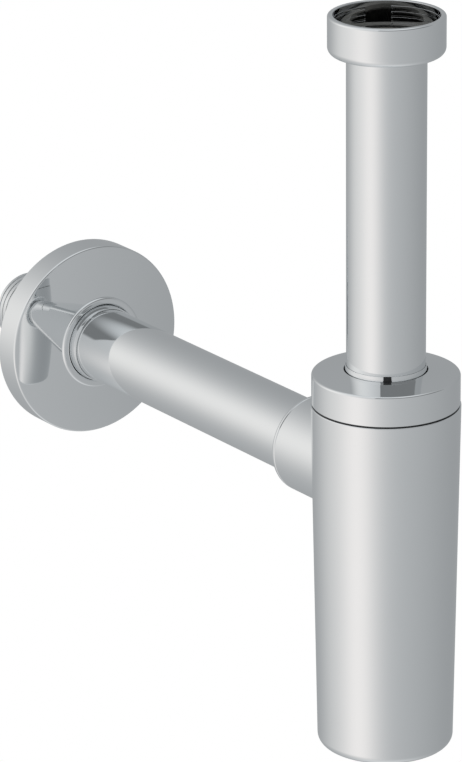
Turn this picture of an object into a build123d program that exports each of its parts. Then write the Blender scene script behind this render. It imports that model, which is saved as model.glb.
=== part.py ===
from build123d import *
import math
import os

# Chrome-plated bottle trap for a washbasin, millimetres.
# The origin is on the dip tube's axis, on the top face of the flat gasket in the inlet union.
# +Z is up. +Y points to the wall, which the outlet pipe reaches horizontally.
# Sections are drawn in (radius, height) and revolved. Pieces round the outlet axis are drawn
# about +Z, with their height as the distance towards the wall, and then turned onto +Y.

# ---------- clearances ----------
TUBE_FIT = 0.08            # radial, a ring that slides on a tube
SEAL_GAP = 0.15            # a soft seal's own surface to the seat that it turns on
LOOSE_GAP = 0.3            # radial, a hole that a tube only passes through
RING_GAP = 0.15            # radial, the rosette on its sleeve
THREAD_GAP = 0.3           # radial, crest to root, both ways
FLANGE_GAP = 0.276         # radial, the tube's flange in the nut's thread

# ---------- dip tube ----------
TUBE_R = 16.0
TUBE_WALL = 1.0
TUBE_FLANGE_W = 3.2
TUBE_FLANGE_T = 1.0
TUBE_FLANGE_FILLET = 0.5
TUBE_ABOVE_BASE = 23.5     # the tube's mouth over the bottle's inside base
GASKET_T = 2.0
GASKET_INSET = 1.5         # how far the gasket reaches in past the tube's outside
SLIP_T = 0.6
SLIP_PROUD = 0.1

# ---------- inlet union nut, G 1 1/4 thread ----------
INLET_THREAD_DEPTH = 1.479
INLET_PITCH = 2.309
INLET_GROOVE_W = 1.55      # at the crest
INLET_GROOVE_ROOT_W = 0.25
NUT_WALL = 2.25            # outside the relief
NUT_RELIEF_DEPTH = 0.195   # beyond the thread's root
NUT_FLOOR_T = 1.7
NUT_ABOVE_GASKET = 10.7    # gasket face up to the nut's rim
NUT_MOUTH_DEPTH = 2.3      # plain mouth above the thread
NUT_LOWER_FILLET = 3.1
NUT_RIM_FILLET = 1.0
NUT_MOUTH_CHAMFER = 0.4
THREAD_ABOVE_GASKET = 0.1
GAP_COUNT = 3              # axial slots that interrupt the inlet thread
GAP_DEG = 29.0
GAP_AT_DEG = 33.5

# ---------- bottle ----------
RIM_BELOW_GASKET = 150.9
BOTTLE_H = 147.4
SHELL_R = 30.37            # outside, at the rim
SHELL_TAPER = 2.57         # radius lost from the rim to the base
SHELL_WALL = 2.0
SHELL_BASE_FILLET = 4.0
SHELL_RIM_FILLET = 0.35
RIM_SEAL_T = 0.6
RIM_SEAL_INSET = 0.3

# ---------- neck ring ----------
NECK_H = 8.9               # threaded collar above the shell's rim
NECK_TOP_CHAMFER = 0.6
NECK_PITCH = 2.309
NECK_THREAD_DEPTH = 1.2
NECK_FLANK_W = 0.8         # how much wider a groove is at the crest than at the root
NECK_PLAY = 0.191          # axial, a ridge in its groove
NECK_SKIRT_DEPTH = 7.1     # below the shell's rim
NECK_SKIRT_WALL = 3.9
NECK_CORE_WALL = 1.0       # kept under the thread's root when it is cut
SEAT_W = 4.1               # radius gained over the conical seat
SEAT_DEPTH = 5.6
SEAT_THROAT_GAP = 1.2      # radial, round the dip tube
SEAT_THROAT_L = 1.9

# ---------- compression seal and cap nut ----------
WEDGE_PROUD = 0.8          # how far the seal stands out of its seat
SPLIT_FLANGE_T = 1.2
SPLIT_FLANGE_LAP = 1.7     # beyond the seat's mouth
SPLIT_SLEEVE_GAP = 0.3     # radial, in the cap's hole
SPLIT_TIP_T = 0.27
SPLIT_TIP_PROUD = 1.87     # above the cap's hole
SPLIT_TAPER_L = 2.8
SPLIT_SLIT_W = 3.6
SPLIT_SLIT_AT_DEG = -124.9
KEY_WIDTH_DEG = 11.2       # the seal's key, which fills the slit
KEY_BELOW_TIP = 0.1
CAP_SLIP_T = 0.8
CAP_SLIP_LAP = 1.0         # beyond the split ring's flange
CAP_SLIP_HOLE_GAP = 0.15   # radial, beyond the cap's hole
CAP_INSET = 0.37           # radial, in from the shell's rim
CAP_SKIRT_T = 2.1          # outside the thread's root
CAP_EDGE_T = 1.4           # top, over the ceiling at the edge
CAP_SLOPE_DEG = 8.4
CAP_EDGE_FILLET = 1.0
CAP_SMALL_FILLET = 0.25
CAP_HOLE_GAP = 0.95        # radial, round the dip tube
CAP_RELIEF_DEPTH = 0.2     # beyond the thread's root
CAP_BOTTOM_LAND = 1.3
CAP_TOP_LAND = 2.0
THREAD_PAST = 0.3          # how far a groove's cutter stands clear of the crest
THREAD_OVERRUN = 1.0       # how far it runs past the end of the thread

# ---------- outlet ----------
PIPE_R = 16.0
PIPE_WALL = 1.0
PIPE_END_FILLET = 0.4
PIPE_FROM_TUBE = 10.0      # the pipe's inner end, out from the dip tube's side
SOCKET_BELOW_SKIRT = 4.1   # top of the socket under the neck ring's skirt
SOCKET_WALL = 1.8
SOCKET_END_FILLET = 1.5
SOCKET_BORE_GAP = 1.2      # radial round the pipe, behind the seal's shoulder
SEAL_FROM_RIM = 2.63       # the seal's shoulder, out from the shell's rim radius
SEAL_W = 2.9               # radial room for the seal round the pipe
SEAL_L = 9.5
SEAL_LIP_T = 2.2
SEAL_GROOVE_W = 0.8
MOUTH_RING_GAP = 0.4
MOUTH_RING_L = 8.1
GROOVE_W = 1.0
GROOVE_DEPTH = 0.3
MARK_BEHIND_ROSETTE = 2.4  # insertion mark on the pipe
END_GROOVE_COUNT = 3
END_GROOVE_STEP = 2.6

# ---------- wall rosette ----------
ROSETTE_R = 42.4
ROSETTE_FRONT_Y = 212.4     # front of its rim
ROSETTE_DEPTH = 12.2
ROSETTE_WALL = 1.2
ROSETTE_EDGE_FILLET = 1.0
ROSETTE_DOME_R = 165.0     # of the domed face
PIPE_BEHIND_ROSETTE = 43.4
COLLAR_HOLE_GAP = 1.2      # radial, round the pipe
COLLAR_T = 3.2
COLLAR_L = 5.6             # from the rim's front to the collar's
COLLAR_FILLET = 1.2
COLLAR_LIP_FILLET = 0.8
SLEEVE_PROUD = 3.8         # in front of the collar
SLEEVE_TIP_T = 0.52
SLEEVE_FLANGE_W = 2.45     # beyond the collar's hole
SLEEVE_FLANGE_T = 2.0
SLEEVE_SEAT_LAP = 1.0      # flat seat inside the rosette, beyond the flange

# ---------- worked out from the sizes above ----------

# Heights in the inlet union, down from the gasket's face.
GASKET_BOTTOM_Z = -GASKET_T
FLANGE_BOTTOM_Z = GASKET_BOTTOM_Z - TUBE_FLANGE_T
SLIP_BOTTOM_Z = FLANGE_BOTTOM_Z - SLIP_T
NUT_BOTTOM_Z = SLIP_BOTTOM_Z - NUT_FLOOR_T
THREAD_TOP_Z = NUT_ABOVE_GASKET - NUT_MOUTH_DEPTH

# Radii in the inlet union, out from the tube.
TUBE_FLANGE_R = TUBE_R + TUBE_FLANGE_W
INLET_MINOR_R = TUBE_FLANGE_R + FLANGE_GAP
INLET_MAJOR_R = INLET_MINOR_R + INLET_THREAD_DEPTH
NUT_RELIEF_R = INLET_MAJOR_R + NUT_RELIEF_DEPTH
NUT_R = NUT_RELIEF_R + NUT_WALL

# Heights of the bottle, its neck and its cap.
SHELL_TOP_Z = -RIM_BELOW_GASKET
SHELL_BASE_Z = SHELL_TOP_Z - BOTTLE_H
TUBE_END_Z = SHELL_BASE_Z + SHELL_WALL + TUBE_ABOVE_BASE
SKIRT_BOTTOM_Z = SHELL_TOP_Z - NECK_SKIRT_DEPTH
NECK_TOP_Z = SHELL_TOP_Z + NECK_H
NECK_GROOVE_START_Z = SHELL_TOP_Z - THREAD_OVERRUN
NECK_GROOVE_W = (NECK_PITCH + NECK_PLAY + NECK_FLANK_W) / 2
NECK_GROOVE_ROOT_W = NECK_GROOVE_W - NECK_FLANK_W
SPLIT_BOTTOM_Z = NECK_TOP_Z + WEDGE_PROUD
CAP_SLIP_BOTTOM_Z = SPLIT_BOTTOM_Z + SPLIT_FLANGE_T
CAP_CEILING_Z = CAP_SLIP_BOTTOM_Z + CAP_SLIP_T
CAP_BOTTOM_Z = SHELL_TOP_Z + RIM_SEAL_T
CAP_EDGE_Z = CAP_CEILING_Z + CAP_EDGE_T

# Radii of the bottle, its neck and its cap.
SHELL_BASE_R = SHELL_R - SHELL_TAPER
SHELL_BORE_R = SHELL_R - SHELL_WALL
CAP_R = SHELL_R - CAP_INSET
CAP_ROOT_R = CAP_R - CAP_SKIRT_T
CAP_RELIEF_R = CAP_ROOT_R + CAP_RELIEF_DEPTH
NECK_THREAD_R = CAP_ROOT_R - THREAD_GAP
NECK_ROOT_R = NECK_THREAD_R - NECK_THREAD_DEPTH
CAP_CREST_R = NECK_ROOT_R + THREAD_GAP
SEAT_THROAT_R = TUBE_R + SEAT_THROAT_GAP
SEAT_R = SEAT_THROAT_R + SEAT_W
SPLIT_FLANGE_R = SEAT_R + SPLIT_FLANGE_LAP
CAP_SLIP_R = SPLIT_FLANGE_R + CAP_SLIP_LAP
CAP_HOLE_R = TUBE_R + CAP_HOLE_GAP
CAP_HOLE_Z = CAP_EDGE_Z + (CAP_R - CAP_HOLE_R) * math.tan(math.radians(CAP_SLOPE_DEG))
SPLIT_TIP_Z = CAP_HOLE_Z + SPLIT_TIP_PROUD

# Outlet: radii out from the pipe, and distances towards the wall.
SOCKET_BORE_R = PIPE_R + SOCKET_BORE_GAP
SEAL_BORE_R = PIPE_R + SEAL_W
SOCKET_R = SEAL_BORE_R + SOCKET_WALL
OUTLET_Z = SKIRT_BOTTOM_Z - SOCKET_BELOW_SKIRT - SOCKET_R
SEAL_START_Y = SHELL_R + SEAL_FROM_RIM
SEAL_END_Y = SEAL_START_Y + SEAL_L
MOUTH_RING_Y = SEAL_END_Y + MOUTH_RING_GAP
SOCKET_END_Y = MOUTH_RING_Y + MOUTH_RING_L
PIPE_START_Y = TUBE_R + PIPE_FROM_TUBE

# Rosette: its collar, its sleeve and the pipe's free end.
ROSETTE_BACK_Y = ROSETTE_FRONT_Y + ROSETTE_DEPTH
PIPE_END_Y = ROSETTE_BACK_Y + PIPE_BEHIND_ROSETTE
COLLAR_HOLE_R = PIPE_R + COLLAR_HOLE_GAP
COLLAR_R = COLLAR_HOLE_R + COLLAR_T
COLLAR_FRONT_Y = ROSETTE_FRONT_Y - COLLAR_L
SLEEVE_FRONT_Y = COLLAR_FRONT_Y - SLEEVE_PROUD
SLEEVE_FLANGE_R = COLLAR_HOLE_R + SLEEVE_FLANGE_W
SLEEVE_SEAT_R = SLEEVE_FLANGE_R + SLEEVE_SEAT_LAP


def ring(points):
    """Solid of revolution about Z from (radius, height) corners."""
    wire = Wire.make_polygon([Vector(r, 0, z) for r, z in points], close=True)
    return Solid.revolve(Face(wire), 360.0, Axis.Z)


def rect_ring(r_in, r_out, z_low, z_high):
    """Plain ring or tube with a rectangular section."""
    return ring([(r_in, z_low), (r_out, z_low), (r_out, z_high), (r_in, z_high)])


def disc(radius, z_low, z_high):
    """Solid cylinder on Z between two heights."""
    return Solid.make_cylinder(radius, z_high - z_low, Plane((0, 0, z_low)))


def circles(body, radius, height):
    """Circular edges of body at one radius and height, for fillets and chamfers."""
    found = []
    for edge in body.edges():
        if edge.geom_type != GeomType.CIRCLE:
            continue
        if abs(edge.radius - radius) < 1e-3 and abs(edge.arc_center.Z - height) < 1e-3:
            found.append(edge)
    return found


def rounded(body, size, *places):
    """Fillet the circular edges at the given (radius, height) places."""
    edges = [edge for radius, height in places for edge in circles(body, radius, height)]
    return body.fillet(size, edges)


def bevelled(body, size, *places):
    """Chamfer the circular edges at the given (radius, height) places."""
    edges = [edge for radius, height in places for edge in circles(body, radius, height)]
    return body.chamfer(size, None, edges)


def thread_groove(r_crest, r_root, pitch, z_low, z_high, crest_w, root_w):
    """Helical groove to cut: it opens through the crest and ends at the root."""
    past = THREAD_PAST if r_root > r_crest else -THREAD_PAST
    flank = (crest_w - root_w) / (r_crest - r_root)
    r_open = r_crest - past
    open_w = root_w + flank * (r_open - r_root)
    # From the smaller radius outwards and back, so that the swept solid is never inside out.
    (r_a, w_a), (r_b, w_b) = sorted([(r_open, open_w), (r_root, root_w)])
    corners = [(r_a, -w_a / 2), (r_b, -w_b / 2), (r_b, w_b / 2), (r_a, w_a / 2)]
    section = Wire.make_polygon([Vector(r, 0, z) for r, z in corners], close=True)
    helix = Edge.make_helix(pitch, z_high - z_low, (r_open + r_root) / 2)
    return Solid.sweep(section, path=helix, is_frenet=True).moved(Location((0, 0, z_low)))


def threaded(blank, r_crest, r_root, pitch, span, crest_w, root_w, start_z, turn_deg=0.0):
    """Cut a thread in a turned blank, over the heights in span, from a groove that starts at start_z.

    A cut can go wrong where the groove crosses the seam of the blank's round faces. The blank is the
    same all round, so it is turned on about its axis until the cut takes away the groove's volume.
    """
    groove = thread_groove(r_crest, r_root, pitch, start_z, span[1] + THREAD_OVERRUN, crest_w, root_w)
    groove = groove.moved(Location((0, 0, 0), (0, 0, turn_deg)))
    section = abs(r_root - r_crest) * (crest_w + root_w) / 2
    expected = section * math.pi * (r_crest + r_root) * (span[1] - span[0]) / pitch
    for step in range(24):
        turned = blank.moved(Location((0, 0, 0), (0, 0, step * 15.0)))
        result = turned.cut(groove)
        removed = turned.volume - result.volume
        if len(result.solids()) == 1 and 0.8 * expected < removed < 1.2 * expected:
            return result.solids()[0]
    raise ValueError("the thread's groove could not be cut")


def on_outlet(body):
    """Turn a piece drawn about +Z onto the outlet axis, its height becoming +Y."""
    return body.moved(Location((0, 0, OUTLET_Z), (-90, 0, 0)))


def sector(r_in, r_out, z_low, z_high, at_deg, width_deg):
    """Wedge of a ring, centred on one bearing about Z."""
    corners = [(r_in, z_low), (r_out, z_low), (r_out, z_high), (r_in, z_high)]
    wire = Wire.make_polygon([Vector(r, 0, z) for r, z in corners], close=True)
    wedge = Solid.revolve(Face(wire), width_deg, Axis.Z)
    return wedge.moved(Location((0, 0, 0), (0, 0, at_deg - width_deg / 2)))


# ---------- inlet union ----------


def inlet_union_nut():
    """Union nut: plain mouth, interrupted thread, relief chamber and a floor under the tube's flange."""
    hole_r = TUBE_R + LOOSE_GAP
    nut = ring([
        (hole_r, NUT_BOTTOM_Z), (NUT_R, NUT_BOTTOM_Z), (NUT_R, NUT_ABOVE_GASKET),
        (NUT_RELIEF_R, NUT_ABOVE_GASKET), (NUT_RELIEF_R, THREAD_TOP_Z),
        (INLET_MINOR_R, THREAD_TOP_Z), (INLET_MINOR_R, THREAD_ABOVE_GASKET),
        (NUT_RELIEF_R, THREAD_ABOVE_GASKET), (NUT_RELIEF_R, SLIP_BOTTOM_Z), (hole_r, SLIP_BOTTOM_Z),
    ])
    nut = rounded(nut, NUT_LOWER_FILLET, (NUT_R, NUT_BOTTOM_Z))
    nut = rounded(nut, NUT_RIM_FILLET, (NUT_R, NUT_ABOVE_GASKET))
    nut = bevelled(nut, NUT_MOUTH_CHAMFER, (NUT_RELIEF_R, NUT_ABOVE_GASKET))
    nut = threaded(nut, INLET_MINOR_R, INLET_MAJOR_R, INLET_PITCH, (THREAD_ABOVE_GASKET, THREAD_TOP_Z),
                   INLET_GROOVE_W, INLET_GROOVE_ROOT_W, THREAD_ABOVE_GASKET - THREAD_OVERRUN)
    for k in range(GAP_COUNT):
        slot = sector(INLET_MINOR_R - THREAD_PAST, NUT_RELIEF_R, THREAD_ABOVE_GASKET, THREAD_TOP_Z,
                      GAP_AT_DEG + k * 360.0 / GAP_COUNT, GAP_DEG)
        nut = nut.cut(slot)
    return nut


def inlet_slip_ring():
    """Thin washer that lets the nut turn under the tube's flange."""
    return rect_ring(TUBE_R + LOOSE_GAP + TUBE_FLANGE_FILLET, TUBE_FLANGE_R + SLIP_PROUD,
                     SLIP_BOTTOM_Z, FLANGE_BOTTOM_Z)


def inlet_flat_gasket():
    """Flat sealing washer on the tube's flange."""
    return rect_ring(TUBE_R - GASKET_INSET, TUBE_FLANGE_R, GASKET_BOTTOM_Z, 0.0)


def dip_tube():
    """Inlet tube with its turned-out flange, reaching down into the bottle."""
    bore_r = TUBE_R - TUBE_WALL
    tube = ring([
        (bore_r, TUBE_END_Z), (TUBE_R, TUBE_END_Z), (TUBE_R, FLANGE_BOTTOM_Z),
        (TUBE_FLANGE_R, FLANGE_BOTTOM_Z), (TUBE_FLANGE_R, GASKET_BOTTOM_Z), (bore_r, GASKET_BOTTOM_Z),
    ])
    return rounded(tube, TUBE_FLANGE_FILLET, (TUBE_R, FLANGE_BOTTOM_Z))


# ---------- compression seal and cap ----------


def cap_nut():
    """Cap nut: sloping top with the tube's hole, smooth skirt, thread inside."""
    thread_low = CAP_BOTTOM_Z + CAP_BOTTOM_LAND
    thread_high = CAP_CEILING_Z - CAP_TOP_LAND
    cap = ring([
        (CAP_HOLE_R, CAP_CEILING_Z), (CAP_HOLE_R, CAP_HOLE_Z), (CAP_R, CAP_EDGE_Z), (CAP_R, CAP_BOTTOM_Z),
        (CAP_RELIEF_R, CAP_BOTTOM_Z), (CAP_RELIEF_R, thread_low), (CAP_CREST_R, thread_low),
        (CAP_CREST_R, thread_high), (CAP_RELIEF_R, thread_high), (CAP_RELIEF_R, CAP_CEILING_Z),
    ])
    cap = rounded(cap, CAP_EDGE_FILLET, (CAP_R, CAP_EDGE_Z))
    cap = rounded(cap, CAP_SMALL_FILLET, (CAP_HOLE_R, CAP_HOLE_Z), (CAP_R, CAP_BOTTOM_Z))
    # The cap's ridges run in the neck's grooves, so its own grooves lie half a pitch away.
    start_z = thread_low - THREAD_OVERRUN
    in_step = (start_z - NECK_GROOVE_START_Z) / NECK_PITCH * 360.0
    return threaded(cap, CAP_CREST_R, CAP_ROOT_R, NECK_PITCH, (thread_low, thread_high),
                    NECK_GROOVE_W, NECK_GROOVE_ROOT_W, start_z, in_step + 180.0)


def cap_slip_ring():
    """Slip washer between the cap's ceiling and the split ring."""
    return rect_ring(CAP_HOLE_R + CAP_SLIP_HOLE_GAP, CAP_SLIP_R, CAP_SLIP_BOTTOM_Z, CAP_CEILING_Z)


def split_sleeve(bottom_z, top_z):
    """Section of the thin tapered sleeve that stands round the tube in the cap's hole."""
    inner = TUBE_R + TUBE_FIT
    outer = CAP_HOLE_R - SPLIT_SLEEVE_GAP
    return [(outer, bottom_z), (outer, SPLIT_TIP_Z - SPLIT_TAPER_L), (inner + SPLIT_TIP_T, top_z),
            (inner, top_z)]


def cap_split_ring():
    """Split clamping ring: flange under the cap, thin tapered sleeve standing out round the tube."""
    body = ring([
        (TUBE_R + TUBE_FIT, SPLIT_BOTTOM_Z), (SPLIT_FLANGE_R, SPLIT_BOTTOM_Z),
        (SPLIT_FLANGE_R, CAP_SLIP_BOTTOM_Z), *split_sleeve(CAP_SLIP_BOTTOM_Z, SPLIT_TIP_Z),
    ])
    height = SPLIT_TIP_Z - SPLIT_BOTTOM_Z
    slit = Solid.make_box(SPLIT_FLANGE_R, SPLIT_SLIT_W, height,
                          Plane((0, -SPLIT_SLIT_W / 2, SPLIT_BOTTOM_Z)))
    return body.cut(slit.moved(Location((0, 0, 0), (0, 0, SPLIT_SLIT_AT_DEG))))


def cap_wedge_seal():
    """Rubber wedge seal between the dip tube and the neck's conical seat, with a key in the slit."""
    slope = SEAT_W / SEAT_DEPTH
    inner = TUBE_R + TUBE_FIT
    shift = SEAL_GAP * math.hypot(1.0, slope)
    tip_z = NECK_TOP_Z - SEAT_DEPTH
    tip_r = SEAT_THROAT_R - shift
    top_r = SEAT_R - shift + WEDGE_PROUD * slope
    seal = ring([(inner, tip_z), (tip_r, tip_z), (top_r, SPLIT_BOTTOM_Z), (inner, SPLIT_BOTTOM_Z)])
    key_section = [(inner, SPLIT_BOTTOM_Z), *split_sleeve(SPLIT_BOTTOM_Z, SPLIT_TIP_Z - KEY_BELOW_TIP)]
    wire = Wire.make_polygon([Vector(r, 0, z) for r, z in key_section], close=True)
    key = Solid.revolve(Face(wire), KEY_WIDTH_DEG, Axis.Z)
    key = key.moved(Location((0, 0, 0), (0, 0, SPLIT_SLIT_AT_DEG - KEY_WIDTH_DEG / 2)))
    return seal.fuse(key)


# ---------- bottle ----------


def tapered_cup(wall):
    """Body of the bottle's taper, set in by a wall thickness, with its rounded base."""
    base_z = SHELL_BASE_Z + wall
    slope = (SHELL_R - SHELL_BASE_R) / (SHELL_TOP_Z - SHELL_BASE_Z)
    base_r = SHELL_BASE_R - wall + wall * slope
    top_r = SHELL_R - wall
    cup = ring([(0, base_z), (base_r, base_z), (top_r, SHELL_TOP_Z), (0, SHELL_TOP_Z)])
    return rounded(cup, SHELL_BASE_FILLET - wall if wall else SHELL_BASE_FILLET, (base_r, base_z))


def bottle_shell():
    """Drawn cup of the bottle with the outlet hole in its side."""
    shell = tapered_cup(0.0)
    shell = rounded(shell, SHELL_RIM_FILLET, (SHELL_R, SHELL_TOP_Z))
    shell = shell.cut(tapered_cup(SHELL_WALL))
    shell = shell.cut(disc(SHELL_BORE_R, SKIRT_BOTTOM_Z, SHELL_TOP_Z + SHELL_WALL))
    return shell.cut(on_outlet(disc(SOCKET_BORE_R, 0.0, SHELL_R + SHELL_WALL)))


def neck_ring():
    """Turned ring soldered in the shell's mouth: outside thread and conical seat."""
    throat_top = NECK_TOP_Z - SEAT_DEPTH
    throat_low = throat_top - SEAT_THROAT_L
    skirt_in_r = SHELL_BORE_R - NECK_SKIRT_WALL
    collar_in_r = NECK_ROOT_R - NECK_CORE_WALL
    inside = ring([
        (SHELL_BORE_R, SKIRT_BOTTOM_Z), (SHELL_BORE_R, SHELL_TOP_Z), (collar_in_r, SHELL_TOP_Z),
        (collar_in_r, NECK_TOP_Z), (SEAT_R, NECK_TOP_Z), (SEAT_THROAT_R, throat_top),
        (SEAT_THROAT_R, throat_low), (skirt_in_r, throat_low), (skirt_in_r, SKIRT_BOTTOM_Z),
    ])
    collar = rect_ring(collar_in_r, NECK_THREAD_R, SHELL_TOP_Z, NECK_TOP_Z)
    collar = bevelled(collar, NECK_TOP_CHAMFER, (NECK_THREAD_R, NECK_TOP_Z))
    collar = threaded(collar, NECK_THREAD_R, NECK_ROOT_R, NECK_PITCH, (SHELL_TOP_Z, NECK_TOP_Z),
                      NECK_GROOVE_W, NECK_GROOVE_ROOT_W, NECK_GROOVE_START_Z)
    return inside.fuse(collar)


def body_rim_seal():
    """Thin dark washer that shows as the seam under the cap."""
    return rect_ring(SHELL_BORE_R, CAP_R - RIM_SEAL_INSET, SHELL_TOP_Z, CAP_BOTTOM_Z)


# ---------- outlet ----------


def outlet_socket():
    """Turned socket brazed onto the bottle's side, stepped inside for the seal."""
    socket = ring([
        (SOCKET_BORE_R, 0.0), (SOCKET_R, 0.0), (SOCKET_R, SOCKET_END_Y),
        (SEAL_BORE_R, SOCKET_END_Y), (SEAL_BORE_R, SEAL_START_Y), (SOCKET_BORE_R, SEAL_START_Y),
    ])
    socket = rounded(socket, SOCKET_END_FILLET, (SOCKET_R, SOCKET_END_Y))
    return on_outlet(socket).cut(tapered_cup(0.0)).solids().sort_by(Axis.Y)[-1]


def outlet_mouth_ring():
    """Ring pressed into the socket's mouth to keep the seal in."""
    return on_outlet(rect_ring(PIPE_R + LOOSE_GAP, SEAL_BORE_R, MOUTH_RING_Y, SOCKET_END_Y))


def outlet_lip_seal():
    """Rubber lip seal with an open groove towards the water."""
    inner = PIPE_R + TUBE_FIT
    outer = SEAL_BORE_R - SEAL_GAP
    lip = (outer - inner - SEAL_GROOVE_W) / 2
    seal = ring([
        (inner, SEAL_START_Y), (inner + lip, SEAL_START_Y), (inner + lip, SEAL_END_Y - SEAL_LIP_T),
        (outer - lip, SEAL_END_Y - SEAL_LIP_T), (outer - lip, SEAL_START_Y), (outer, SEAL_START_Y),
        (outer, SEAL_END_Y), (inner, SEAL_END_Y),
    ])
    return on_outlet(seal)


def outlet_pipe():
    """Straight outlet pipe with an insertion mark and fine grooves at its wall end."""
    pipe = rect_ring(PIPE_R - PIPE_WALL, PIPE_R, PIPE_START_Y, PIPE_END_Y)
    pipe = rounded(pipe, PIPE_END_FILLET, (PIPE_R, PIPE_END_Y))
    places = [ROSETTE_BACK_Y + MARK_BEHIND_ROSETTE]
    for k in range(END_GROOVE_COUNT):
        places.append(PIPE_END_Y - (k + 1) * END_GROOVE_STEP)
    for place in places:
        groove = rect_ring(PIPE_R - GROOVE_DEPTH, PIPE_R + PIPE_WALL, place, place + GROOVE_W)
        pipe = pipe.cut(groove)
    return on_outlet(pipe)


# ---------- wall rosette ----------


def domed_y(radius, inset=0.0):
    """How far towards the wall the domed face lies at one radius, or a surface set in behind it."""
    centre_y = ROSETTE_FRONT_Y + math.sqrt(ROSETTE_DOME_R ** 2 - ROSETTE_R ** 2)
    return centre_y - math.sqrt((ROSETTE_DOME_R - inset) ** 2 - radius ** 2)


def domed_edge(from_r, to_r, inset=0.0):
    """Arc of the domed face's section between two radii."""
    places = [(r, domed_y(r, inset)) for r in (from_r, (from_r + to_r) / 2, to_r)]
    return Edge.make_three_point_arc(*[Vector(r, 0, y) for r, y in places])


def wall_rosette():
    """Pressed cup against the wall, with a domed face and a rounded collar round the pipe."""
    inside_r = ROSETTE_R - ROSETTE_WALL
    rim = [(ROSETTE_R, ROSETTE_FRONT_Y), (ROSETTE_R, ROSETTE_BACK_Y), (inside_r, ROSETTE_BACK_Y),
           (inside_r, domed_y(inside_r, ROSETTE_WALL))]
    seat_y = domed_y(SLEEVE_SEAT_R, ROSETTE_WALL)
    collar = [(SLEEVE_SEAT_R, seat_y), (COLLAR_HOLE_R, seat_y), (COLLAR_HOLE_R, COLLAR_FRONT_Y),
              (COLLAR_R, COLLAR_FRONT_Y), (COLLAR_R, domed_y(COLLAR_R))]
    edges = [domed_edge(COLLAR_R, ROSETTE_R), domed_edge(inside_r, SLEEVE_SEAT_R, ROSETTE_WALL)]
    for corners in (rim, collar):
        places = [Vector(r, 0, y) for r, y in corners]
        edges += [Edge.make_line(start, end) for start, end in zip(places, places[1:])]
    cup = Solid.revolve(Face(Wire(edges)), 360.0, Axis.Z)
    cup = rounded(cup, ROSETTE_EDGE_FILLET, (ROSETTE_R, ROSETTE_FRONT_Y))
    cup = rounded(cup, COLLAR_FILLET, (COLLAR_R, COLLAR_FRONT_Y))
    cup = rounded(cup, COLLAR_LIP_FILLET, (COLLAR_HOLE_R, COLLAR_FRONT_Y))
    return on_outlet(cup)


def rosette_sleeve():
    """Centring sleeve that grips the pipe and carries the rosette."""
    inner = PIPE_R + TUBE_FIT
    outer = COLLAR_HOLE_R - RING_GAP
    seat_y = domed_y(SLEEVE_SEAT_R, ROSETTE_WALL)
    sleeve = ring([
        (inner, SLEEVE_FRONT_Y), (inner + SLEEVE_TIP_T, SLEEVE_FRONT_Y), (outer, COLLAR_FRONT_Y),
        (outer, seat_y), (SLEEVE_FLANGE_R, seat_y), (SLEEVE_FLANGE_R, seat_y + SLEEVE_FLANGE_T),
        (inner, seat_y + SLEEVE_FLANGE_T),
    ])
    return on_outlet(sleeve)


PIECES = [
    inlet_union_nut, inlet_slip_ring, inlet_flat_gasket, dip_tube,
    cap_nut, cap_slip_ring, cap_split_ring, cap_wedge_seal,
    bottle_shell, neck_ring, body_rim_seal,
    outlet_socket, outlet_mouth_ring, outlet_lip_seal, outlet_pipe,
    wall_rosette, rosette_sleeve,
]

os.makedirs("parts", exist_ok=True)
for make_piece in PIECES:
    export_step(make_piece(), f"parts/{make_piece.__name__}.step")
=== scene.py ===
"""Chrome-plated bottle trap for a washbasin: smooth turned pieces, finishes, soft light and a camera.

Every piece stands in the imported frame. Its outline takes its ends and radii from the frame's own
pieces, and the sizes that a box can't tell are dataclass fields, in millimetres. Sections are drawn
as (radius, height) corners and turned about the dip tube's axis, or about the outlet's axis with
their height as the distance towards the wall.
"""

from __future__ import annotations

import logging
import math
from dataclasses import dataclass
from enum import Enum
from typing import Any, Sequence

import bmesh
import bpy
from mathutils import Matrix, Vector

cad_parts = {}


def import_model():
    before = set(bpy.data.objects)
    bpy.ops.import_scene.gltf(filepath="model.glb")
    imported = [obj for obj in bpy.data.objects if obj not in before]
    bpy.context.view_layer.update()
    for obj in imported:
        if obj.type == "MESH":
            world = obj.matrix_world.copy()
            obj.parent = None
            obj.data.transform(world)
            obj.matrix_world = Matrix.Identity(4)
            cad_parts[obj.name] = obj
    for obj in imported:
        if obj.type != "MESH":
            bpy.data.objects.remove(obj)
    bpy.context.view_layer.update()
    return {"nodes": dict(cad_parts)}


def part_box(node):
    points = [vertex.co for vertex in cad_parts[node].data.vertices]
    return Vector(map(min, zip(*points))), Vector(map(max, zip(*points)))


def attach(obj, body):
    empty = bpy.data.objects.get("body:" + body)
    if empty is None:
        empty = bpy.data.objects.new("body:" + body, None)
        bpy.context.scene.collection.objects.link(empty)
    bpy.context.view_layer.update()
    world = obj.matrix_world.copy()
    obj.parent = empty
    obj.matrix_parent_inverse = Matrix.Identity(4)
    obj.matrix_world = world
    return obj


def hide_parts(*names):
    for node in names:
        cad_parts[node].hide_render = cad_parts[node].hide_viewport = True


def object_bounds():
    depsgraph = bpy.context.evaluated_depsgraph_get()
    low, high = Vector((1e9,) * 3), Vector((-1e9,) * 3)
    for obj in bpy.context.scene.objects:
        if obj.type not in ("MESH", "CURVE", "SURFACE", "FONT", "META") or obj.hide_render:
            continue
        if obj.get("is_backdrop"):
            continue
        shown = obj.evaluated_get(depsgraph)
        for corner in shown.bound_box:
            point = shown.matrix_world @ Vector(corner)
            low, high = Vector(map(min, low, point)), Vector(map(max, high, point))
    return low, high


LOG = logging.getLogger("bottle_trap")

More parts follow.
